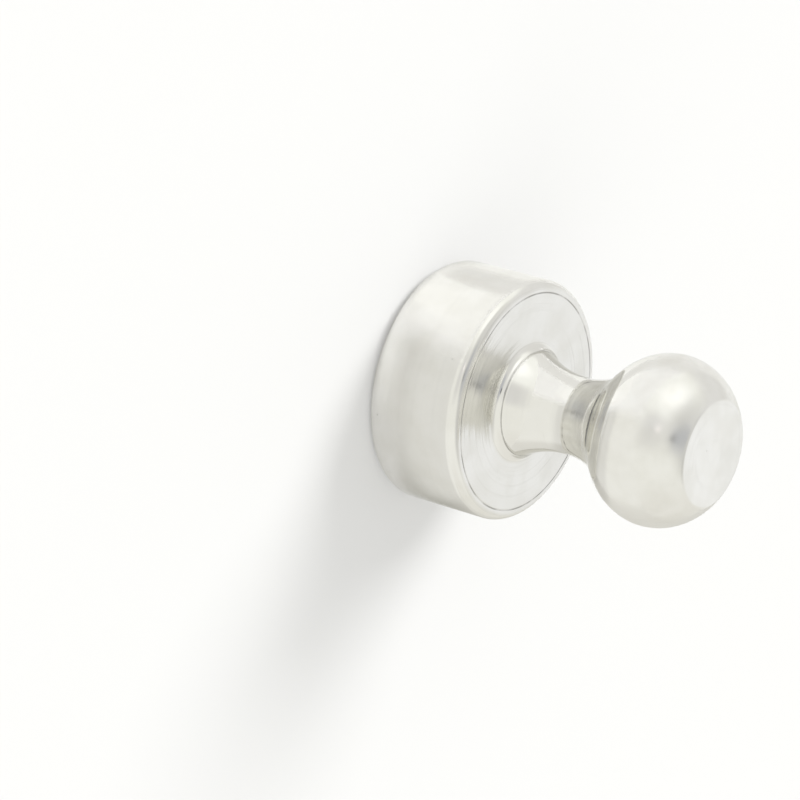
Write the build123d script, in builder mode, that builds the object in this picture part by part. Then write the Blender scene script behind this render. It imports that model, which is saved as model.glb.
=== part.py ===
from build123d import *
import os
from math import acos, degrees, sqrt

os.makedirs("parts", exist_ok=True)

# A magnetic push pin: a turned, nickel-plated steel body with a plated disc magnet glued
# into the pocket of its foot. It stands on its foot, with the pin's axis on Z and the
# origin at the centre of the face that holds to a steel board.

# Driving dimensions in millimetres

# The disc magnet and the pocket that holds it
magnet_diameter = 9.8
magnet_thickness = 4.0
magnet_edge_round = 0.4
magnet_back_chamfer = 0.3
magnet_clearance = 0.2
pocket_floor_thickness = 1.25

# The rim round the pocket: an outer round, a narrow flat land and a chamfered inner edge
rim_outer_round = 0.6
rim_land_width = 0.1
rim_inner_chamfer = 0.2
shoulder_edge_round = 0.5

# The waisted neck, from the foot's shoulder to where it runs into the head
neck_root_diameter = 5.7
neck_root_round = 0.6
waist_diameter = 3.84
waist_above_foot = 2.95
waist_to_head = 2.3
neck_top_diameter = 5.2
neck_top_round = 1.2

# The head, an ellipse in section with its end faced off flat
head_diameter = 8.4
head_half_height = 3.5
head_flat_diameter = 5.2
head_flat_edge_round = 0.4

# Worked out from the driving dimensions
pocket_radius = magnet_diameter / 2 + magnet_clearance
foot_radius = pocket_radius + rim_inner_chamfer + rim_land_width + rim_outer_round
foot_height = magnet_thickness + pocket_floor_thickness
waist_height = foot_height + waist_above_foot
neck_top_height = waist_height + waist_to_head

# The head's ellipse stands on the top of the neck. Its arc starts there and ends at the flat.
neck_width_share = neck_top_diameter / head_diameter
flat_width_share = head_flat_diameter / head_diameter
head_centre_height = neck_top_height + head_half_height * sqrt(1 - neck_width_share**2)
neck_angle = degrees(acos(neck_width_share))
flat_angle = degrees(acos(flat_width_share))


# The turned body: one closed half section, spun round the axis
with BuildPart() as pin_body:
    with BuildSketch(Plane.XZ) as half_section:
        with BuildLine():
            head_arc = EllipticalCenterArc(
                (0, head_centre_height),
                head_diameter / 2,
                head_half_height,
                start_angle=-neck_angle,
                arc_size=neck_angle + flat_angle,
            )
            # Both stretches of the neck leave the waist parallel to the axis
            waist = (waist_diameter / 2, waist_height)
            neck_root = (neck_root_diameter / 2, foot_height)
            TangentArc(waist, head_arc @ 0, tangent=(0, 1))
            TangentArc(waist, neck_root, tangent=(0, -1))
            # Shoulder, straight wall, rim, pocket, axis and flat end close the outline
            Polyline(
                neck_root,
                (foot_radius, foot_height),
                (foot_radius, 0),
                (pocket_radius, 0),
                (pocket_radius, magnet_thickness),
                (0, magnet_thickness),
                (0, (head_arc @ 1).Y),
                head_arc @ 1,
            )
        make_face()
        # Each corner of the section that is rounded, with its radius
        rounds = (
            ((foot_radius, 0), rim_outer_round),
            ((foot_radius, foot_height), shoulder_edge_round),
            (neck_root, neck_root_round),
            (head_arc @ 0, neck_top_round),
            (head_arc @ 1, head_flat_edge_round),
        )
        for corner, radius in rounds:
            fillet(half_section.vertices().sort_by_distance(corner)[0], radius)
        # The pocket's mouth is chamfered, so the magnet goes in without catching
        mouth = half_section.vertices().sort_by_distance((pocket_radius, 0))[0]
        chamfer(mouth, rim_inner_chamfer)
    revolve(axis=Axis.Z)

pin_body.part.label = "pin_body"
export_step(pin_body.part, "parts/pin_body.step")


# The disc magnet fills the pocket's depth, so its face is flush with the foot's rim
with BuildPart() as disc_magnet:
    with BuildSketch(Plane.XY):
        Circle(magnet_diameter / 2)
    extrude(amount=magnet_thickness)
    # The edge that shows is rounded, and the one on the pocket's floor is chamfered
    fillet(disc_magnet.edges().sort_by(Axis.Z)[0], magnet_edge_round)
    chamfer(disc_magnet.edges().sort_by(Axis.Z)[-1], magnet_back_chamfer)

disc_magnet.part.label = "disc_magnet"
export_step(disc_magnet.part, "parts/disc_magnet.step")

body_size = pin_body.part.bounding_box().size
print("pin: foot", round(body_size.X, 3), "across and", round(body_size.Z, 3), "tall")
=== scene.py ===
# %% [markdown]
# # A magnetic push pin, turned from steel and plated with nickel
#
# The pin is two pieces. The body is turned in one from steel bar: a round foot with a
# pocket in it, a waisted neck and a head with a flat end. A disc magnet sits in the pocket.
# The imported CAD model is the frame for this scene, so every size and place comes from it.
# Plated metal has no colour of its own to speak of. It shows what stands round it, so half
# of this lesson is the metal's surface and the other half is the light tent.

# %% Load the frame
from math import acos, atan2, cos, pi, radians, sin, sqrt

import bmesh
import bpy
import numpy as np
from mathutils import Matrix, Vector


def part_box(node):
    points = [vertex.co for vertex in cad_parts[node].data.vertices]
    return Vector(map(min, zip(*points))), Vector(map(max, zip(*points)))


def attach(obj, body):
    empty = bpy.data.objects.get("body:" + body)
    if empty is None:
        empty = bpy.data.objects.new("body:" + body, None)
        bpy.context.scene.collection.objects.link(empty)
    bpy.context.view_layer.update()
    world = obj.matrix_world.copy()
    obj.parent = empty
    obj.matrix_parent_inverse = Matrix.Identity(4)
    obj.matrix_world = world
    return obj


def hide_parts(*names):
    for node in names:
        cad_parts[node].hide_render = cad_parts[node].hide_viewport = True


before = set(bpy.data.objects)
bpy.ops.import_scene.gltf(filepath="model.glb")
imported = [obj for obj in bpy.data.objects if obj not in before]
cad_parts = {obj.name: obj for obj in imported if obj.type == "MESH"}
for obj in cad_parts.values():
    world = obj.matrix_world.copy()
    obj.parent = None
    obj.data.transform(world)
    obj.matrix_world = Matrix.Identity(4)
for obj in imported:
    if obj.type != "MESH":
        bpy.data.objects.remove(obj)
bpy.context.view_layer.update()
MM = 0.001

# %% [markdown]
# ## Sizes
#
# The foot, the total height and the magnet are read from the frame's own nodes. The rest
# of the turned outline is given in millimetres, as on a turner's drawing: a radius and a
# height for each corner, and a radius for each corner that is rounded.

# %% Sizes of the turned body
body_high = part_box("pin_body")[1]
magnet_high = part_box("disc_magnet")[1]
FOOT_RADIUS = body_high.x / MM
PIN_HEIGHT = body_high.z / MM
MAGNET_RADIUS = magnet_high.x / MM
MAGNET_THICKNESS = magnet_high.z / MM

FOOT_HEIGHT = 5.25
POCKET_RADIUS = 5.1
NECK_ROOT_RADIUS = 2.85
WAIST_RADIUS = 1.92
WAIST_HEIGHT = 8.2
NECK_TOP_RADIUS = 2.6
NECK_TOP_HEIGHT = 10.5
HEAD_RADIUS = 4.2
HEAD_HALF_HEIGHT = 3.5
FLAT_RADIUS = 2.6

FLAT_ROUND = 0.4
NECK_TOP_ROUND = 1.2
NECK_ROOT_ROUND = 0.6
SHOULDER_ROUND = 0.5
RIM_ROUND = 0.6
MOUTH_ROUND = 0.2
MAGNET_ROUND = 0.4
MAGNET_BACK_ROUND = 0.3
print("foot", round(FOOT_RADIUS, 3), "tall", round(PIN_HEIGHT, 3), "magnet", round(MAGNET_RADIUS, 3))

# %% [markdown]
# ## The outline
#
# A turned piece is one outline taken round an axis. The outline here is a list of runs:
# straight lines, two arcs for the neck and part of an ellipse for the head. Each run is a
# list of points, radius first and height second. Drawing the runs as curves and spinning
# them would work too, but lists of points can be rounded and spaced exactly.

# %% Runs of the outline
def straight(start, end, count):
    return np.linspace(start, end, count)


def ellipse_run(centre_height, half_width, half_height, first_angle, last_angle, count=900):
    angles = np.linspace(first_angle, last_angle, count)
    return np.column_stack([half_width * np.cos(angles), centre_height + half_height * np.sin(angles)])


def neck_run(waist, end, count=400):
    """An arc that leaves the waist parallel to the axis and ends at a wider point."""
    widening = end[0] - waist[0]
    rise = end[1] - waist[1]
    arc_radius = (rise**2 + widening**2) / (2 * widening)
    turn = np.linspace(0, atan2(abs(rise), arc_radius - widening), count)
    side = 1 if rise > 0 else -1
    return np.column_stack(
        [waist[0] + arc_radius * (1 - np.cos(turn)), waist[1] + side * arc_radius * np.sin(turn)]
    )


neck_share = NECK_TOP_RADIUS / HEAD_RADIUS
flat_share = FLAT_RADIUS / HEAD_RADIUS
head_centre = NECK_TOP_HEIGHT + HEAD_HALF_HEIGHT * sqrt(1 - neck_share**2)
waist_point = (WAIST_RADIUS, WAIST_HEIGHT)
head = ellipse_run(head_centre, HEAD_RADIUS, HEAD_HALF_HEIGHT, acos(flat_share), -acos(neck_share))
upper_neck = neck_run(waist_point, (NECK_TOP_RADIUS, NECK_TOP_HEIGHT))[::-1]
lower_neck = neck_run(waist_point, (NECK_ROOT_RADIUS, FOOT_HEIGHT))
neck = np.vstack([upper_neck, lower_neck[1:]])
print("head centre", round(head_centre, 3), "waist", neck[:, 0].min())

# %% [markdown]
# ### Rounded corners
#
# No corner of a plated piece is sharp, because plating and tumbling both round it, and each
# round draws its own bright line. A corner is rounded here as a turner would check it, by
# rolling a ball into it until it touches both sides.

# %% Roll a ball into a corner
def distances_to(points, centre):
    return np.hypot(points[:, 0] - centre[0], points[:, 1] - centre[1])


def roll_ball(before, after, ball_radius, inside, count):
    """Cuts both runs back to where a ball touches them, and returns them with the arc between."""
    directions = np.gradient(before, axis=0)
    directions /= np.linalg.norm(directions, axis=1)[:, None]
    square = np.column_stack([directions[:, 1], -directions[:, 0]])
    side = 1 if inside else -1
    for index in range(len(before) - 1, -1, -1):
        centre = before[index] + side * ball_radius * square[index]
        gaps = distances_to(after, centre)
        if gaps.min() >= ball_radius:
            break
    touch = int(gaps.argmin())
    first = atan2(*(before[index] - centre)[::-1])
    last = atan2(*(after[touch] - centre)[::-1])
    turn = (last - first + pi) % (2 * pi) - pi
    angles = np.linspace(first, first + turn, count)
    across = centre[0] + ball_radius * np.cos(angles)
    arc = np.column_stack([across, centre[1] + ball_radius * np.sin(angles)])
    return before[: index + 1], arc, after[touch:]


# %% [markdown]
# ### Round the corners of the body
#
# Going from the middle of the flat end down the outside, the runs turn at seven corners.
# The first six are rounded, and the last one, at the pocket's floor, stays sharp, because
# the magnet hides it.

# %% Round the corners of the body
ROUND_RINGS = 15
flat_end = straight((0.0, PIN_HEIGHT), (FLAT_RADIUS, PIN_HEIGHT), 900)
shoulder = straight((NECK_ROOT_RADIUS, FOOT_HEIGHT), (FOOT_RADIUS, FOOT_HEIGHT), 1200)
wall = straight((FOOT_RADIUS, FOOT_HEIGHT), (FOOT_RADIUS, 0.0), 1600)
rim = straight((FOOT_RADIUS, 0.0), (POCKET_RADIUS, 0.0), 700)
pocket_wall = straight((POCKET_RADIUS, 0.0), (POCKET_RADIUS, MAGNET_THICKNESS), 1400)
pocket_floor = straight((POCKET_RADIUS, MAGNET_THICKNESS), (0.0, MAGNET_THICKNESS), 400)

flat_end, flat_round, head = roll_ball(flat_end, head, FLAT_ROUND, True, ROUND_RINGS)
head, neck_round, neck = roll_ball(head, neck, NECK_TOP_ROUND, False, ROUND_RINGS + 6)
neck, root_round, shoulder = roll_ball(neck, shoulder, NECK_ROOT_ROUND, False, ROUND_RINGS)
shoulder, shoulder_round, wall = roll_ball(shoulder, wall, SHOULDER_ROUND, True, ROUND_RINGS)
wall, rim_round, rim = roll_ball(wall, rim, RIM_ROUND, True, ROUND_RINGS)
rim, mouth_round, pocket_wall = roll_ball(rim, pocket_wall, MOUTH_ROUND, True, ROUND_RINGS - 5)
print("neck runs", neck[0], "to", neck[-1], "shoulder", shoulder[0], "to", shoulder[-1])

# %% [markdown]
# ### Rings and tool lines
#
# A run that is long and straight gets one more ring close to each end. It keeps the
# shading of the flat stretch flat, right up to where the round starts, which shows at once
# on bright metal. Where a cut stops, the tool's corner leaves a fine groove: one runs round
# the neck's root and one round the shoulder, just inside its edge. They are cut into the
# outline, so they are real grooves that catch the light as they turn away.

# %% Space the rings
HOLD = 0.03
FLAT_END_SPACING = 0.25
HEAD_SPACING = 0.11
NECK_SPACING = 0.12
SHOULDER_SPACING = 0.2
WALL_SPACING = 0.3
POCKET_WALL_SPACING = 0.5
POCKET_FLOOR_SPACING = 0.8


def stations(run):
    """How far along the run each of its points lies."""
    return np.concatenate([[0], np.cumsum(np.hypot(*np.diff(run, axis=0).T))])


def spaced(run, spacing):
    """The same run with evenly spaced points."""
    lengths = stations(run)
    count = max(2, int(round(lengths[-1] / spacing)) + 1)
    even = np.linspace(0, lengths[-1], count)
    return np.column_stack([np.interp(even, lengths, run[:, 0]), np.interp(even, lengths, run[:, 1])])


def held(run, spacing):
    """A straight run with one more ring close to each of its ends."""
    start, end = run[0], run[-1]
    along = (end - start) / np.linalg.norm(end - start)
    inner = spaced(np.array([start + along * HOLD, end - along * HOLD]), spacing)
    return np.vstack([start, inner, end])


# %% Cut the tool lines
EDGE_LINE_RADIUS = 5.43
TOOL_LINE_WIDTH = 0.07
EDGE_LINE_DEPTH = 0.008
ROOT_LINE_DEPTH = 0.014
ROOT_LINE_UP = 0.06
GROOVE_STEPS = ((-0.5, 0.0), (-0.3, 0.55), (-0.12, 0.95), (0.12, 0.95), (0.3, 0.55), (0.5, 0.0))


def tool_line(run, at, depth):
    """A fine groove that a tool's corner leaves, cut square into a run."""
    lengths = stations(run)
    place = np.array([np.interp(at, lengths, run[:, axis]) for axis in (0, 1)])
    index = min(int(np.searchsorted(lengths, at)), len(run) - 1)
    along = run[index] - run[index - 1]
    along = along / np.linalg.norm(along)
    inwards = np.array([along[1], -along[0]])
    before = run[lengths < at - TOOL_LINE_WIDTH]
    after = run[lengths > at + TOOL_LINE_WIDTH]
    groove = [
        place + along * TOOL_LINE_WIDTH * across + inwards * depth * down for across, down in GROOVE_STEPS
    ]
    return np.vstack([before, groove, after])


neck_rings = spaced(neck, NECK_SPACING)
neck_rings = tool_line(neck_rings, stations(neck)[-1] - ROOT_LINE_UP, ROOT_LINE_DEPTH)
shoulder_rings = held(shoulder, SHOULDER_SPACING)
shoulder_rings = tool_line(shoulder_rings, EDGE_LINE_RADIUS - shoulder[0, 0], EDGE_LINE_DEPTH)
GROOVE_BOTTOM = -4  # counted from the neck's last ring
root_line_radius, root_line_height = neck_rings[GROOVE_BOTTOM]
print("root line at radius", round(root_line_radius, 3), "height", round(root_line_height, 3))

# %% Join the runs into one outline
outline = np.vstack(
    [
        held(flat_end, FLAT_END_SPACING)[1:],
        flat_round[1:],
        spaced(head, HEAD_SPACING)[1:],
        neck_round[1:],
        neck_rings[1:],
        root_round[1:],
        shoulder_rings[1:],
        shoulder_round[1:],
        held(wall, WALL_SPACING)[1:],
        rim_round[1:],
        rim[-1:],
        mouth_round[1:],
        held(pocket_wall, POCKET_WALL_SPACING)[1:],
        spaced(pocket_floor, POCKET_FLOOR_SPACING)[1:-1],
    ]
)
print("rings", len(outline), "top", outline[:, 1].max(), "widest", outline[:, 0].max())

# %% [markdown]
# ## Turn the body
#
# Bar stock is round, so the piece starts as a round disc, the flat end of the head. From
# there each ring of the outline is made by extruding the last ring and scaling it, the
# same two moves every time. That keeps every face a plain quad, which shades cleanly. The
# last ring is pulled together at the middle of the pocket's floor.

# %% Turn the body
STEPS_ROUND = 192


def turn_piece(name, rings):
    """Starts from a round disc at the first ring and works along the outline."""
    bpy.ops.object.select_all(action="DESELECT")
    radius, height = rings[0] * MM
    bpy.ops.mesh.primitive_circle_add(
        vertices=STEPS_ROUND, radius=radius, fill_type="TRIFAN", location=(0, 0, height)
    )
    piece = bpy.context.object
    piece.name = name
    piece.data.name = name
    bpy.ops.object.mode_set(mode="EDIT")
    bpy.ops.mesh.select_mode(type="EDGE")
    bpy.ops.mesh.select_all(action="SELECT")
    bpy.ops.mesh.region_to_loop()
    for (old_radius, old_height), (new_radius, new_height) in zip(rings, rings[1:]):
        rise = (new_height - old_height) * MM
        share = new_radius / old_radius
        bpy.ops.mesh.extrude_region_move(TRANSFORM_OT_translate={"value": (0, 0, rise)})
        bpy.ops.transform.resize(value=(share, share, 1), center_override=(0, 0, 0))
    bpy.ops.mesh.extrude_region_move(TRANSFORM_OT_translate={"value": (0, 0, 0)})
    bpy.ops.mesh.merge(type="CENTER")
    bpy.ops.mesh.select_all(action="SELECT")
    bpy.ops.mesh.remove_doubles(threshold=1e-7)
    bpy.ops.mesh.normals_make_consistent(inside=False)
    bpy.ops.object.mode_set(mode="OBJECT")
    bpy.ops.object.transform_apply(location=True, rotation=True, scale=True)
    bpy.ops.object.shade_smooth_by_angle(angle=radians(30))
    print(name, "has", len(piece.data.vertices), "vertices and", len(piece.data.polygons), "faces")
    return piece


turned_body = turn_piece("turned_body", outline)

# %% [markdown]
# ## The disc magnet
#
# Magnets of this kind are pressed, ground flat and plated. The edge that shows is rounded,
# so that the plating holds on it. It is turned in the same way as the body, from the
# middle of the face that shows to the middle of the hidden one.

# %% Turn the magnet
face = straight((0.0, 0.0), (MAGNET_RADIUS, 0.0), 1500)
side = straight((MAGNET_RADIUS, 0.0), (MAGNET_RADIUS, MAGNET_THICKNESS), 1500)
back = straight((MAGNET_RADIUS, MAGNET_THICKNESS), (0.0, MAGNET_THICKNESS), 1500)
face, face_round, side = roll_ball(face, side, MAGNET_ROUND, True, ROUND_RINGS)
side, back_round, back = roll_ball(side, back, MAGNET_BACK_ROUND, True, 8)
magnet_outline = np.vstack(
    [
        held(face, 0.4)[1:],
        face_round[1:],
        held(side, 0.6)[1:],
        back_round[1:],
        held(back, 0.8)[1:-1],
    ]
)
disc = turn_piece("plated_disc", magnet_outline)

# %% [markdown]
# ## Nodes for the surfaces and the light
#
# The materials, the tent and the cards are all made of the same few nodes. These helpers
# add one node each, or a few, and return its output, so that a finish further on reads like
# a recipe. A mask is a number that is 1 where something shows and 0 where it doesn't.

# %% Helpers that add nodes
def join(tree, source, target):
    tree.links.new(source, target)


def calculate(tree, operation, first, second=None):
    """A Math node. Each input is a number or another node's output."""
    node = tree.nodes.new("ShaderNodeMath")
    node.operation = operation
    for socket, value in zip(node.inputs, (first, second)):
        if value is None:
            continue
        if isinstance(value, (int, float)):
            socket.default_value = value
        else:
            join(tree, value, socket)
    return node.outputs[0]


def all_of(tree, *masks):
    """1 only where every mask is 1."""
    product = masks[0]
    for mask in masks[1:]:
        product = calculate(tree, "MULTIPLY", product, mask)
    return product


def remap(tree, value, low, high, to_low=0.0, to_high=1.0):
    """Runs softly from one number to the other while the value goes from low to high."""
    node = tree.nodes.new("ShaderNodeMapRange")
    node.interpolation_type = "SMOOTHSTEP"
    node.inputs["From Min"].default_value = low
    node.inputs["From Max"].default_value = high
    node.inputs["To Min"].default_value = to_low
    node.inputs["To Max"].default_value = to_high
    join(tree, value, node.inputs["Value"])
    return node.outputs["Result"]


# %% Helpers for directions, places, noise and colours
def vector_step(tree, operation, first, second=None):
    """A Vector Math node. The second input is a fixed vector."""
    node = tree.nodes.new("ShaderNodeVectorMath")
    node.operation = operation
    join(tree, first, node.inputs[0])
    if second is not None:
        node.inputs[1].default_value = second
    return node.outputs["Value" if operation == "DOT_PRODUCT" else "Vector"]


def millimetres(tree):
    """Object coordinates in millimetres: the vector, its three parts and the radius."""
    place = tree.nodes.new("ShaderNodeTexCoord")
    vector = vector_step(tree, "MULTIPLY", place.outputs["Object"], (1000.0, 1000.0, 1000.0))
    parts = tree.nodes.new("ShaderNodeSeparateXYZ")
    join(tree, vector, parts.inputs[0])
    across = calculate(tree, "POWER", parts.outputs["X"], 2.0)
    along = calculate(tree, "POWER", parts.outputs["Y"], 2.0)
    radius = calculate(tree, "SQRT", calculate(tree, "ADD", across, along))
    return vector, parts.outputs, radius


def noise(tree, vector, scale, detail, roughness=0.5):
    node = tree.nodes.new("ShaderNodeTexNoise")
    node.inputs["Scale"].default_value = scale
    node.inputs["Detail"].default_value = detail
    node.inputs["Roughness"].default_value = roughness
    join(tree, vector, node.inputs["Vector"])
    return node.outputs["Fac"]


def blend(tree, mask, first, second):
    """Mixes two colours; each is a tuple or another node's output."""
    mix = tree.nodes.new("ShaderNodeMix")
    mix.data_type = "RGBA"
    for socket, value in ((mix.inputs["A"], first), (mix.inputs["B"], second)):
        if isinstance(value, tuple):
            socket.default_value = (*value, 1)
        else:
            join(tree, value, socket)
    join(tree, mask, mix.inputs["Factor"])
    return mix.outputs["Result"]


# %% [markdown]
# ## Effects that the finishes share
#
# Each effect is a node group: it is built once and placed in every material that needs it,
# with its own values. That way a change to the marks shows on all the turned faces at once.

# %% Helpers for node groups
def new_group(name, inputs, outputs):
    group = bpy.data.node_groups.new(name, "ShaderNodeTree")
    for label, value in inputs:
        socket = group.interface.new_socket(label, in_out="INPUT", socket_type="NodeSocketFloat")
        socket.default_value = value
    for label in outputs:
        group.interface.new_socket(label, in_out="OUTPUT", socket_type="NodeSocketFloat")
    return group, group.nodes.new("NodeGroupInput").outputs, group.nodes.new("NodeGroupOutput").inputs


def place_group(tree, group, **values):
    """Places a group with its own values and returns its outputs."""
    node = tree.nodes.new("ShaderNodeGroup")
    node.node_tree = group
    for label, value in values.items():
        node.inputs[label.replace("_", " ")].default_value = value
    return node.outputs


# %% [markdown]
# ### Turning marks
#
# A cutting tool leaves fine lines that run round the axis. A wave texture in rings would
# give the same line over and over. Noise is better: it is read along the outline, radius
# plus height, so it changes fast across the marks, and only slowly on the way round. Some
# of the lines are deeper cuts, and these are given as a mask of their own.

# %% Turning marks
marks, given, result = new_group(
    "turning_marks", [("Lines per mm", 7.0), ("Drift", 0.5)], ["Height", "Cuts"]
)
vector, parts, radius = millimetres(marks)
station = calculate(marks, "ADD", radius, parts["Z"])
safe_radius = calculate(marks, "MAXIMUM", radius, 0.05)
turn_x = calculate(marks, "DIVIDE", parts["X"], safe_radius)
turn_y = calculate(marks, "DIVIDE", parts["Y"], safe_radius)
track = marks.nodes.new("ShaderNodeCombineXYZ")
join(marks, calculate(marks, "MULTIPLY", station, given["Lines per mm"]), track.inputs["X"])
join(marks, calculate(marks, "MULTIPLY", turn_x, given["Drift"]), track.inputs["Y"])
join(marks, calculate(marks, "MULTIPLY", turn_y, given["Drift"]), track.inputs["Z"])
fine_marks = noise(marks, track.outputs[0], 1.0, 2.0, 0.6)
wide_marks = noise(marks, vector_step(marks, "MULTIPLY", track.outputs[0], (0.28, 1.0, 1.0)), 1.0, 1.0)
cuts = remap(marks, fine_marks, 0.56, 0.70)
relief = calculate(marks, "ADD", wide_marks, calculate(marks, "MULTIPLY", fine_marks, 0.7))
relief = calculate(marks, "SUBTRACT", relief, calculate(marks, "MULTIPLY", cuts, 0.25))
join(marks, relief, result["Height"])
join(marks, cuts, result["Cuts"])
print(marks.name, "has", len(marks.nodes), "nodes")

# %% [markdown]
# ### Plating
#
# Nickel plating is nearly even, but not quite. It has slight clouds, where it is duller, the
# metal under it waves gently from tumbling, and here and there it has a pit. Clouds and
# waves are noise, and the pits are the middles of a few Voronoi cells, picked by chance.

# %% Plating
PIT_EDGE = 0.055
PIT_MIDDLE = 0.02
PIT_CHANCE = 0.6
plating, given, result = new_group(
    "plating", [("Cloud size", 1.6), ("Pits", 1.0)], ["Clouds", "Waves", "Pits"]
)
vector, parts, radius = millimetres(plating)
sized = plating.nodes.new("ShaderNodeVectorMath")
sized.operation = "SCALE"
join(plating, vector, sized.inputs[0])
join(plating, calculate(plating, "DIVIDE", 1.0, given["Cloud size"]), sized.inputs["Scale"])
join(plating, noise(plating, sized.outputs[0], 1.0, 2.0, 0.45), result["Clouds"])
join(plating, noise(plating, vector, 0.9, 1.5, 0.4), result["Waves"])
cells = plating.nodes.new("ShaderNodeTexVoronoi")
cells.inputs["Scale"].default_value = 1.15
cells.inputs["Randomness"].default_value = 1.0
join(plating, vector, cells.inputs["Vector"])
chance = plating.nodes.new("ShaderNodeSeparateColor")
join(plating, cells.outputs["Color"], chance.inputs[0])
close = remap(plating, cells.outputs["Distance"], PIT_EDGE, PIT_MIDDLE)
chosen = calculate(plating, "GREATER_THAN", chance.outputs["Red"], PIT_CHANCE)
join(plating, all_of(plating, close, chosen, given["Pits"]), result["Pits"])
print(plating.name, "has", len(plating.nodes), "nodes")

# %% [markdown]
# ### Darker tool lines
#
# Each fine groove is coloured darker, so it shows as a thin dark line that comes and goes.
# The mask is 1 close to a ring of a given radius and height, and noise breaks it up.

# %% Darker tool lines
dark_line_group, given, result = new_group(
    "dark_tool_line", [("Radius", EDGE_LINE_RADIUS), ("Height", FOOT_HEIGHT), ("Width", 0.05)], ["Dirt"]
)
vector, parts, radius = millimetres(dark_line_group)
off_radius = calculate(dark_line_group, "POWER", calculate(dark_line_group, "SUBTRACT", radius, given["Radius"]), 2.0)
off_height = calculate(dark_line_group, "POWER", calculate(dark_line_group, "SUBTRACT", parts["Z"], given["Height"]), 2.0)
off = calculate(dark_line_group, "SQRT", calculate(dark_line_group, "ADD", off_radius, off_height))
in_line = remap(dark_line_group, calculate(dark_line_group, "DIVIDE", off, given["Width"]), 1.0, 0.35)
broken = remap(dark_line_group, noise(dark_line_group, vector, 0.8, 3.0, 0.6), 0.35, 0.6, 0.25, 1.0)
join(dark_line_group, all_of(dark_line_group, in_line, broken), result["Dirt"])
print(dark_line_group.name, "has", len(dark_line_group.nodes), "nodes")

# %% [markdown]
# ## Plated finishes
#
# All the plating is nickel, a slightly warm white metal, over what lies under it. Where the
# steel was polished, it mirrors nearly sharply. Where it was faced with a tool, each point
# spreads its reflection outwards, across the marks, which draws the soft wedges that every
# faced disc shows. So one recipe serves for all the finishes: a colour, a gloss and a fine
# relief, each with its own values.

# %% Colour of the plating and its darker places
NICKEL = (0.890, 0.883, 0.857)
NICKEL_DULL = (0.845, 0.836, 0.800)
NICKEL_TINT = (0.90, 0.90, 0.89, 1)
LINE_AND_PIT_DARK = (0.10, 0.095, 0.085)
LINE_AND_PIT_DARK_SHARE = 0.46
CUT_SHADE_TONE = (0.45, 0.44, 0.41)
EDGE_DARK_WIDTH = 0.055
ROOT_DARK_WIDTH = 0.05


def darker_places(tree, plate):
    """1 in the darker rings of the two tool lines and in the pits."""
    edge = place_group(tree, dark_line_group, Radius=EDGE_LINE_RADIUS, Height=FOOT_HEIGHT, Width=EDGE_DARK_WIDTH)
    root = place_group(tree, dark_line_group, Radius=root_line_radius, Height=root_line_height, Width=ROOT_DARK_WIDTH)
    lines = calculate(tree, "MAXIMUM", edge["Dirt"], root["Dirt"])
    return calculate(tree, "MAXIMUM", lines, plate["Pits"])


def plated_colour(tree, turned, plate, dark, cut, tone):
    """Bright and dull nickel in soft clouds, scaled by tone as painted shade, with painted shade in the
    cuts and darker tool lines and pits.
    """
    # painted shade: a tone below 1 darkens the whole colour
    bright = tuple(tone * value for value in NICKEL)
    dull = tuple(tone * value for value in NICKEL_DULL)
    colour = blend(tree, remap(tree, plate["Clouds"], 0.3, 0.75), bright, dull)
    # painted shade: the deeper cuts are coloured darker, as if shade lay in them
    colour = blend(tree, calculate(tree, "MULTIPLY", turned["Cuts"], cut), colour, CUT_SHADE_TONE)
    return blend(tree, calculate(tree, "MULTIPLY", dark, LINE_AND_PIT_DARK_SHARE), colour, LINE_AND_PIT_DARK)


# %% Gloss and relief of the plating
LINE_AND_PIT_ROUGH = 0.3
BRIGHT_SHARE = 0.35


def plated_gloss(tree, plate, dark, rough, bright_below):
    """Roughness from the clouds, less of it below a height and more of it in the darker places."""
    roughness = remap(tree, plate["Clouds"], 0.3, 0.7, *rough)
    if bright_below:
        height = millimetres(tree)[1]["Z"]
        share = remap(tree, height, bright_below, bright_below + 1.0, BRIGHT_SHARE, 1.0)
        roughness = calculate(tree, "MULTIPLY", roughness, share)
    return calculate(tree, "ADD", roughness, calculate(tree, "MULTIPLY", dark, LINE_AND_PIT_ROUGH))


def raised(tree, height, depth, under=None):
    """A Bump node: relief of this depth in millimetres, over the relief under it."""
    bump = tree.nodes.new("ShaderNodeBump")
    bump.inputs["Distance"].default_value = depth * MM
    join(tree, height, bump.inputs["Height"])
    if under is not None:
        join(tree, under, bump.inputs["Normal"])
    return bump.outputs[0]


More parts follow.
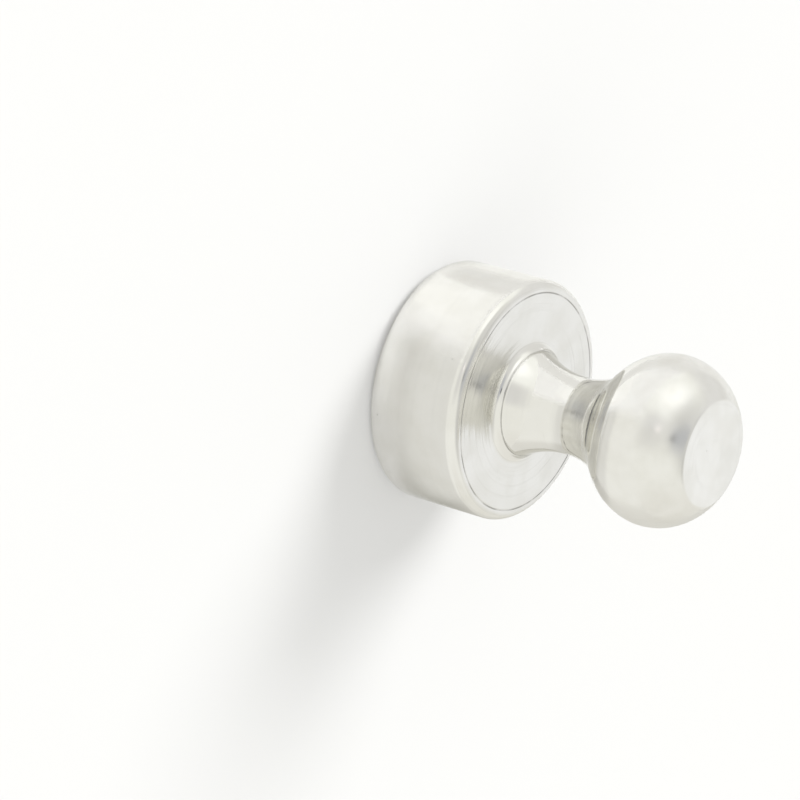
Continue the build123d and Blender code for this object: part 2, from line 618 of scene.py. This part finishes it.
# %% A plated finish
def plated_finish(
    name, rough, lines_per_mm, mark_depth, wave_depth, cloud, pits,
    cut=0.0, spread=0.0, matte=0.0, tone=1.0, bright_below=0.0,
):
    """A nickel finish. Depths are in millimetres; spread pulls reflections across the marks; a tone below
    1 is painted shade.
    """
    material = bpy.data.materials.new(name)
    material.use_nodes = True
    tree = material.node_tree
    metal = tree.nodes["Principled BSDF"].inputs
    metal["Metallic"].default_value = 1 - matte
    metal["Specular Tint"].default_value = NICKEL_TINT
    turned = place_group(tree, marks, Lines_per_mm=lines_per_mm, Drift=0.6)
    plate = place_group(tree, plating, Cloud_size=cloud, Pits=pits)
    dark = darker_places(tree, plate)
    join(tree, plated_colour(tree, turned, plate, dark, cut, tone), metal["Base Color"])
    join(tree, plated_gloss(tree, plate, dark, rough, bright_below), metal["Roughness"])
    if spread:
        metal["Anisotropic"].default_value = spread
        metal["Anisotropic Rotation"].default_value = 0.25
        tangent = tree.nodes.new("ShaderNodeTangent")
        tangent.direction_type = "RADIAL"
        tangent.axis = "Z"
        join(tree, tangent.outputs[0], metal["Tangent"])
    waves = raised(tree, plate["Waves"], wave_depth)
    join(tree, raised(tree, turned["Height"], mark_depth, waves), metal["Normal"])
    print(name, "has", len(tree.nodes), "nodes")
    return material


# %% [markdown]
# ### One finish for each kind of surface
#
# All of them are nickel, and they differ as the real surfaces do. The neck is polished, so
# it draws crisp lines. The head was tumbled in a barrel, which leaves it satin, except low
# down, where the tumbling hardly reaches. The shoulder and the flat end keep the marks of
# the facing tool. The wall is in between, with a few pits in the plating. In the crease
# under the head the polish is dull, and the magnet's thin plating waves a little.

# %% The finishes
polished = plated_finish(
    "polished_nickel", rough=(0.035, 0.07), lines_per_mm=6.0, mark_depth=0.0012,
    wave_depth=0.006, cloud=1.8, pits=0.0, cut=0.03,
)
# painted shade: tone 0.94 darkens the faced shoulder, standing in for the head's soft shadow and the shade
# in its grooves
faced = plated_finish(
    "faced_nickel", rough=(0.15, 0.22), lines_per_mm=8.0, mark_depth=0.028,
    wave_depth=0.003, cloud=1.4, pits=0.5, cut=0.06, spread=0.8, tone=0.94,
)
turned_wall = plated_finish(
    "turned_nickel", rough=(0.10, 0.17), lines_per_mm=6.0, mark_depth=0.0012,
    wave_depth=0.008, cloud=1.5, pits=1.0, cut=0.03,
)
tumbled = plated_finish(
    "tumbled_nickel", rough=(0.19, 0.27), lines_per_mm=4.0, mark_depth=0.0006,
    wave_depth=0.020, cloud=1.1, pits=0.6, bright_below=12.5,
)
faced_end = plated_finish(
    "faced_end_nickel", rough=(0.18, 0.26), lines_per_mm=6.0, mark_depth=0.007,
    wave_depth=0.006, cloud=1.4, pits=0.6, cut=0.05, spread=0.6,
)
crease = plated_finish(
    "crease_nickel", rough=(0.05, 0.10), lines_per_mm=6.0, mark_depth=0.0012,
    wave_depth=0.006, cloud=1.8, pits=0.0, cut=0.03, matte=0.30,
)
magnet_plate = plated_finish(
    "magnet_nickel", rough=(0.06, 0.12), lines_per_mm=3.0, mark_depth=0.0001,
    wave_depth=0.006, cloud=0.9, pits=1.0,
)

# %% [markdown]
# ### Give each part of the body its finish
#
# The body stays one piece, so the finishes go on its faces. The faces are selected by how
# far out and how high they lie, as one would box-select them in edit mode, and each group
# is assigned to its material slot. The neck keeps the first slot, the polished one. The
# flat end comes after the head, because its faces belong to the head's too.

# %% Give each part of the body its finish
LEVEL = 0.04
SHOULDER_FROM = NECK_ROOT_RADIUS + 0.1
WALL_FROM = 5.55
END_FROM = PIN_HEIGHT - 0.02
CREASE_LOW = NECK_TOP_HEIGHT - 0.5
CREASE_HIGH = NECK_TOP_HEIGHT + 0.45


def finish_faces(piece, slot_index, wanted):
    """Selects faces by the radius and height of their middle, in mm, and assigns a slot."""
    bpy.ops.object.mode_set(mode="EDIT")
    bpy.ops.mesh.select_mode(type="FACE")
    bpy.ops.mesh.select_all(action="DESELECT")
    mesh = bmesh.from_edit_mesh(piece.data)
    count = 0
    for face in mesh.faces:
        middle = face.calc_center_median() / MM
        if wanted(sqrt(middle.x**2 + middle.y**2), middle.z):
            face.select_set(True)
            count += 1
    bmesh.update_edit_mesh(piece.data)
    piece.active_material_index = slot_index
    bpy.ops.object.material_slot_assign()
    bpy.ops.object.mode_set(mode="OBJECT")
    return count


regions = (
    (faced, lambda radius, height: abs(height - FOOT_HEIGHT) < LEVEL and radius > SHOULDER_FROM),
    (turned_wall, lambda radius, height: radius > WALL_FROM and height < FOOT_HEIGHT - LEVEL),
    (tumbled, lambda radius, height: height > CREASE_HIGH),
    (faced_end, lambda radius, height: height > END_FROM and radius < FLAT_RADIUS),
    (crease, lambda radius, height: CREASE_LOW < height <= CREASE_HIGH),
)
bpy.ops.object.select_all(action="DESELECT")
turned_body.select_set(True)
bpy.context.view_layer.objects.active = turned_body
turned_body.data.materials.append(polished)
for slot_index, (finish, wanted) in enumerate(regions, start=1):
    turned_body.data.materials.append(finish)
    print(finish.name, "on", finish_faces(turned_body, slot_index, wanted), "faces")
disc.data.materials.append(magnet_plate)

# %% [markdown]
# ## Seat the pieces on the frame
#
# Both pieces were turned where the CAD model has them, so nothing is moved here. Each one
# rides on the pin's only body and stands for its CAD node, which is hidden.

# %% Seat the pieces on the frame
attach(turned_body, "root")
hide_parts("pin_body")
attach(disc, "root")
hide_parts("disc_magnet")
print("seated", turned_body.name, "and", disc.name)

# %% [markdown]
# ## The floor
#
# The pin stands on white paper. It starts as a ring of edges, hidden under the foot, and
# grows outwards by extruding and scaling. A flat sheet has no inside, so its normals may
# come out either way, and they are flipped where they point down.

# %% Floor
FLOOR_START = 5.2
bpy.ops.object.select_all(action="DESELECT")
bpy.ops.mesh.primitive_circle_add(vertices=96, radius=FLOOR_START * MM, fill_type="NOTHING")
floor = bpy.context.object
floor.name = "studio_floor"
bpy.ops.object.mode_set(mode="EDIT")
bpy.ops.mesh.select_mode(type="EDGE")
bpy.ops.mesh.select_all(action="SELECT")
for share in (2, 4, 8, 8):
    bpy.ops.mesh.extrude_region_move(TRANSFORM_OT_translate={"value": (0, 0, 0)})
    bpy.ops.transform.resize(value=(share, share, 1), center_override=(0, 0, 0))
bpy.ops.mesh.select_all(action="SELECT")
bpy.ops.mesh.normals_make_consistent(inside=False)
bpy.ops.object.mode_set(mode="OBJECT")
if floor.data.polygons[0].normal.z < 0:
    floor.data.flip_normals()
print("floor of", len(floor.data.polygons), "faces,", round(floor.dimensions.x, 2), "m across")

# %% [markdown]
# ### White paper
#
# A white floor under plain light comes out light grey, and more light would bleach the
# metal with it. So the paper adds a faint glow of its own, only for the camera and for what
# metal or glass shows, and it still takes the pin's soft shadow. From below, the paper is
# clear, so that the magnet's face can be seen.

# %% White paper
PAPER_TONE = (0.62, 0.62, 0.62, 1)
PAPER_GLOW = (0.185, 0.185, 0.185, 1)
paper = bpy.data.materials.new("studio_paper")
paper.use_nodes = True
tree = paper.node_tree
tree.nodes.clear()
path = tree.nodes.new("ShaderNodeLightPath").outputs
seen = calculate(tree, "MAXIMUM", path["Is Camera Ray"], path["Is Glossy Ray"])
seen = calculate(tree, "MAXIMUM", seen, path["Is Transmission Ray"])
diffuse = tree.nodes.new("ShaderNodeBsdfDiffuse")
diffuse.inputs["Color"].default_value = PAPER_TONE
glow = tree.nodes.new("ShaderNodeEmission")
glow.inputs["Color"].default_value = PAPER_GLOW
join(tree, seen, glow.inputs["Strength"])
both = tree.nodes.new("ShaderNodeAddShader")
join(tree, diffuse.outputs[0], both.inputs[0])
join(tree, glow.outputs[0], both.inputs[1])
geometry = tree.nodes.new("ShaderNodeNewGeometry")
clear = tree.nodes.new("ShaderNodeBsdfTransparent")
one_side = tree.nodes.new("ShaderNodeMixShader")
join(tree, geometry.outputs["Backfacing"], one_side.inputs["Fac"])
join(tree, both.outputs[0], one_side.inputs[1])
join(tree, clear.outputs[0], one_side.inputs[2])
join(tree, one_side.outputs[0], tree.nodes.new("ShaderNodeOutputMaterial").inputs["Surface"])
floor.data.materials.append(paper)
print(paper.name, "has", len(tree.nodes), "nodes")

# %% [markdown]
# ## The light tent
#
# Bright metal is photographed inside a tent of white cloth, because it mirrors everything
# round it. The world here is that tent. A cloth is a mask: a direction, a size in degrees
# and a soft edge. A banner is a cloth that hangs from the top to the floor, so it is given
# by its compass direction alone.

# %% Directions and soft edges
def direction(azimuth, elevation):
    """The unit direction at these angles, in degrees; azimuth 0 is +X and 90 is +Y."""
    flat = cos(radians(elevation))
    return (
        flat * cos(radians(azimuth)),
        flat * sin(radians(azimuth)),
        sin(radians(elevation)),
    )


def towards(tree, vector, centre, inner, outer):
    """1 within inner degrees of the centre, falling softly to 0 at outer degrees."""
    match = vector_step(tree, "DOT_PRODUCT", vector, centre)
    return remap(tree, match, cos(radians(outer)), cos(radians(inner)))


bpy.context.scene.world = bpy.data.worlds.new("light_tent")
bpy.context.scene.world.use_nodes = True
tent = bpy.context.scene.world.node_tree
whole_way = tent.nodes.new("ShaderNodeTexCoord").outputs["Generated"]
level_way = vector_step(tent, "NORMALIZE", vector_step(tent, "MULTIPLY", whole_way, (1, 1, 0)))
way_parts = tent.nodes.new("ShaderNodeSeparateXYZ")
join(tent, whole_way, way_parts.inputs[0])


def cloth(azimuth, elevation, inner, outer):
    return towards(tent, whole_way, direction(azimuth, elevation), inner, outer)


def banner(azimuth, inner, outer):
    return towards(tent, level_way, direction(azimuth, 0), inner, outer)


def below(low, high):
    """1 below the lower elevation, falling softly to 0 at the higher one."""
    return remap(tent, way_parts.outputs["Z"], sin(radians(high)), sin(radians(low)))


print("tent starts with", len(tent.nodes), "nodes")

# %% [markdown]
# ### Hang the cloths
#
# The tent starts as even, slightly warm cloth. Each line then hangs one more cloth over what
# is there: bright ones on the key side, greyer ones at the sides and overhead. A dark spot
# is where the lens looks in, and one small bare lamp gives the glints. What lies below the
# floor is a plain uneven room, and only the magnet's face mirrors it.

# %% Hang the cloths
camera_gap = all_of(tent, banner(-98, 4, 32), below(30, 60), below(18, -6))
patches = remap(tent, noise(tent, whole_way, 9.0, 1.0), 0.38, 0.62)
room = blend(tent, patches, (0.62, 0.61, 0.58), (1.12, 1.11, 1.08))
cloths = (
    (banner(-165, 18, 60), (1.045, 1.05, 1.005)),  # key side
    (cloth(-177, 54, 6, 26), (0.80, 0.80, 0.765)),  # grey over the key side
    (cloth(-159, 24, 4, 24), (1.20, 1.20, 1.16)),  # key softbox
    (all_of(tent, banner(34, 12, 60), below(25, 60)), (0.86, 0.85, 0.80)),  # shadow side
    (banner(137, 8, 32), (0.81, 0.805, 0.785)),  # grey at the back, left
    (banner(95, 8, 28), (0.985, 0.99, 0.985)),  # white at the back
    (camera_gap, (0.77, 0.765, 0.745)),  # gap that the camera stands in
    (cloth(90, 80, 10, 36), (0.64, 0.635, 0.61)),  # top of the tent
    (cloth(-138, 68, 8, 36), (0.73, 0.725, 0.70)),  # top, key side
    (cloth(-118, 73, 2, 21), (0.53, 0.54, 0.56)),  # top, over the camera
    (cloth(-100, 61, 2, 6), (0.16, 0.16, 0.165)),  # lens
    (cloth(-105, 34, 1, 2.6), (2.6, 2.35, 2.4)),  # small bare lamp
    (below(-20, -6), room),  # room below the floor
)
tone = (0.92, 0.918, 0.87)
for mask, colour in cloths:
    tone = blend(tent, mask, tone, colour)
join(tent, tone, tent.nodes["Background"].inputs["Color"])
tent.nodes["Background"].inputs["Strength"].default_value = 1.0
print("tent of", len(cloths), "cloths and", len(tent.nodes), "nodes")

# %% [markdown]
# ## Key and fill lights
#
# The tent gives most of the light. Two wide, soft lamps give the shadow its direction. The
# metal doesn't mirror them, or they would show as round discs that a real softbox, hung as
# part of the tent, doesn't make.

# %% Key and fill lights
def soft_sun(name, azimuth, elevation, energy, size):
    """A big soft lamp, far off in this direction, that the metal itself doesn't mirror."""
    data = bpy.data.lights.new(name, "SUN")
    data.energy = energy
    data.angle = radians(size)
    lamp = bpy.data.objects.new(name, data)
    bpy.context.scene.collection.objects.link(lamp)
    lamp.rotation_euler = (0, radians(90 - elevation), radians(azimuth))
    lamp.visible_glossy = False
    print(name, "at", azimuth, elevation, "strength", energy)


soft_sun("key_softbox", azimuth=160, elevation=38, energy=2.1, size=30)
soft_sun("fill_softbox", azimuth=-25, elevation=35, energy=0.4, size=50)

# %% [markdown]
# ## Cards on the floor
#
# The foot's wall is upright and the camera looks down on it, so it mirrors nothing but the
# floor round the pin. The cards laid there are painted reflections: each one glows with its
# own tone, and only the metal sees it, while the camera, the shadows and the plain light
# pass through. Each card is one flat sheet, and a mask says where it is solid, so its edges
# and its tone can fade out softly.

# %% A card
CARD_REACH = 2500.0


def floor_card(name, height):
    """A flat square card just over the floor, seen by the metal alone, and its board's nodes."""
    bpy.ops.object.select_all(action="DESELECT")
    bpy.ops.mesh.primitive_plane_add(size=1, location=(0, 0, 0))
    card = bpy.context.object
    card.name = name
    card.data.name = name
    bpy.ops.object.mode_set(mode="EDIT")
    bpy.ops.mesh.select_all(action="SELECT")
    bpy.ops.mesh.subdivide(number_cuts=3)
    bpy.ops.transform.resize(value=(2 * CARD_REACH * MM, 2 * CARD_REACH * MM, 1))
    bpy.ops.transform.translate(value=(0, 0, height * MM))
    bpy.ops.object.mode_set(mode="OBJECT")
    card.visible_camera = False
    card.visible_diffuse = False
    card.visible_shadow = False
    board = bpy.data.materials.new(name)
    board.use_nodes = True
    board.node_tree.nodes.clear()
    card.data.materials.append(board)
    return board.node_tree


# %% Shade a card
def shade(tree, solid, colour):
    """Glows with the colour where solid is 1, a painted reflection, and lets the floor through where it is
    0.
    """
    tone = tree.nodes.new("ShaderNodeEmission")
    if isinstance(colour, tuple):
        tone.inputs["Color"].default_value = (*colour, 1)
    else:
        join(tree, colour, tone.inputs["Color"])
    gone = tree.nodes.new("ShaderNodeBsdfTransparent")
    fade = tree.nodes.new("ShaderNodeMixShader")
    join(tree, solid, fade.inputs["Fac"])
    join(tree, gone.outputs[0], fade.inputs[1])
    join(tree, tone.outputs[0], fade.inputs[2])
    join(tree, fade.outputs[0], tree.nodes.new("ShaderNodeOutputMaterial").inputs["Surface"])
    print("card with", len(tree.nodes), "nodes")


def sector(tree, vector, start, azimuth, inner, outer):
    """1 within inner degrees of a direction along the floor, seen from a point on it."""
    offset = vector_step(tree, "SUBTRACT", vector, (*start, 0))
    return towards(tree, vector_step(tree, "NORMALIZE", offset), direction(azimuth, 0), inner, outer)


def far_fade(tree, radius):
    return remap(tree, radius, 2400.0, 1200.0)


# %% [markdown]
# ### Lay the cards
#
# A grey card on the shadow side gives the wall its darker edge: it paints the pin's shadow,
# and is darkest close to the foot as a painted contact shadow. A white one glows brighter
# than the paper and paints a lighter reflection on the key side, and a light grey one lies
# across it and draws a soft painted band along the wall's axis. The front one is greyer close
# to the pin, a painted contact shadow, so that the wall is darker than the head above it,
# which mirrors the floor further out.

# %% Lay the cards
# painted shadow: a grey glowing sheet, darkest close to the foot, stands in for the pin's shadow in what
# the metal mirrors
tree = floor_card("shadow_card", 0.20)
vector, parts, radius = millimetres(tree)
near_fade = all_of(tree, remap(tree, parts["X"], 6.0, 7.5), remap(tree, parts["Y"], -22.0, 5.0))
across = sector(tree, vector, (-30.0, 0.0), 24, 34, 52)
painted_contact_shadow = blend(tree, remap(tree, radius, 7.9, 11.5), (0.50, 0.49, 0.45), (0.66, 0.65, 0.61))
tone = blend(tree, remap(tree, radius, 12.5, 17.0), painted_contact_shadow, (0.80, 0.79, 0.745))
shade(tree, all_of(tree, near_fade, across, far_fade(tree, radius)), tone)

# painted light: a glowing sheet brighter than the paper, brightest close to the foot on the key side
tree = floor_card("white_card", 0.16)
vector, parts, radius = millimetres(tree)
ring = all_of(tree, remap(tree, radius, 6.0, 6.8), remap(tree, radius, 24.0, 12.0))
across = sector(tree, vector, (0.0, 0.0), 182, 44, 66)
close = all_of(tree, remap(tree, radius, 12.0, 7.5), sector(tree, vector, (-3.5, -4.6), -158, 22, 38))
tone = blend(tree, close, (1.06, 1.06, 1.03), (1.11, 1.11, 1.08))
shade(tree, all_of(tree, ring, across), tone)

# painted band: a light grey glowing sheet that the wall mirrors as a soft darker band
tree = floor_card("side_card", 0.24)
vector, parts, radius = millimetres(tree)
ring = all_of(tree, remap(tree, radius, 6.0, 7.2), far_fade(tree, radius))
across = sector(tree, vector, (-4.3, -3.5), 153, 9, 27)
shade(tree, all_of(tree, ring, across), (0.88, 0.875, 0.85))

# painted shade: a glowing sheet, greyer close to the pin as a painted contact shadow
tree = floor_card("front_card", 0.28)
vector, parts, radius = millimetres(tree)
ring = all_of(tree, remap(tree, radius, 6.2, 9.0), far_fade(tree, radius))
across = sector(tree, vector, (0.0, 0.0), -50, 50, 72)
painted_contact_shadow = blend(tree, remap(tree, radius, 7.5, 10.5), (0.66, 0.655, 0.62), (0.79, 0.785, 0.75))
tone = blend(tree, remap(tree, radius, 12.5, 17.0), painted_contact_shadow, (0.91, 0.907, 0.862))
shade(tree, all_of(tree, ring, across), tone)

# %% [markdown]
# ## The camera
#
# A long lens from the front and a little above, rolled over, because the pin lies on its
# side in the picture while it stands upright here. Place, turn and lens come from fitting
# the foot's two ellipses and the head's outline. The Standard view transform keeps the
# tones as they are given.

# %% Camera
camera_data = bpy.data.cameras.new("studio_camera")
camera_data.sensor_width = 36
camera_data.lens = 182.764
camera_data.clip_start = 0.01
camera_data.clip_end = 20
camera = bpy.data.objects.new("studio_camera", camera_data)
camera.location = (0.0, -167.3129 * MM, 109.5967 * MM)
camera.rotation_euler = (radians(-22.48302), radians(-53.12307), radians(116.80543))
bpy.context.scene.collection.objects.link(camera)
bpy.context.scene.camera = camera
bpy.context.scene.view_settings.view_transform = "Standard"
print("camera", round(camera.location.length / MM), "mm away, lens", camera_data.lens)
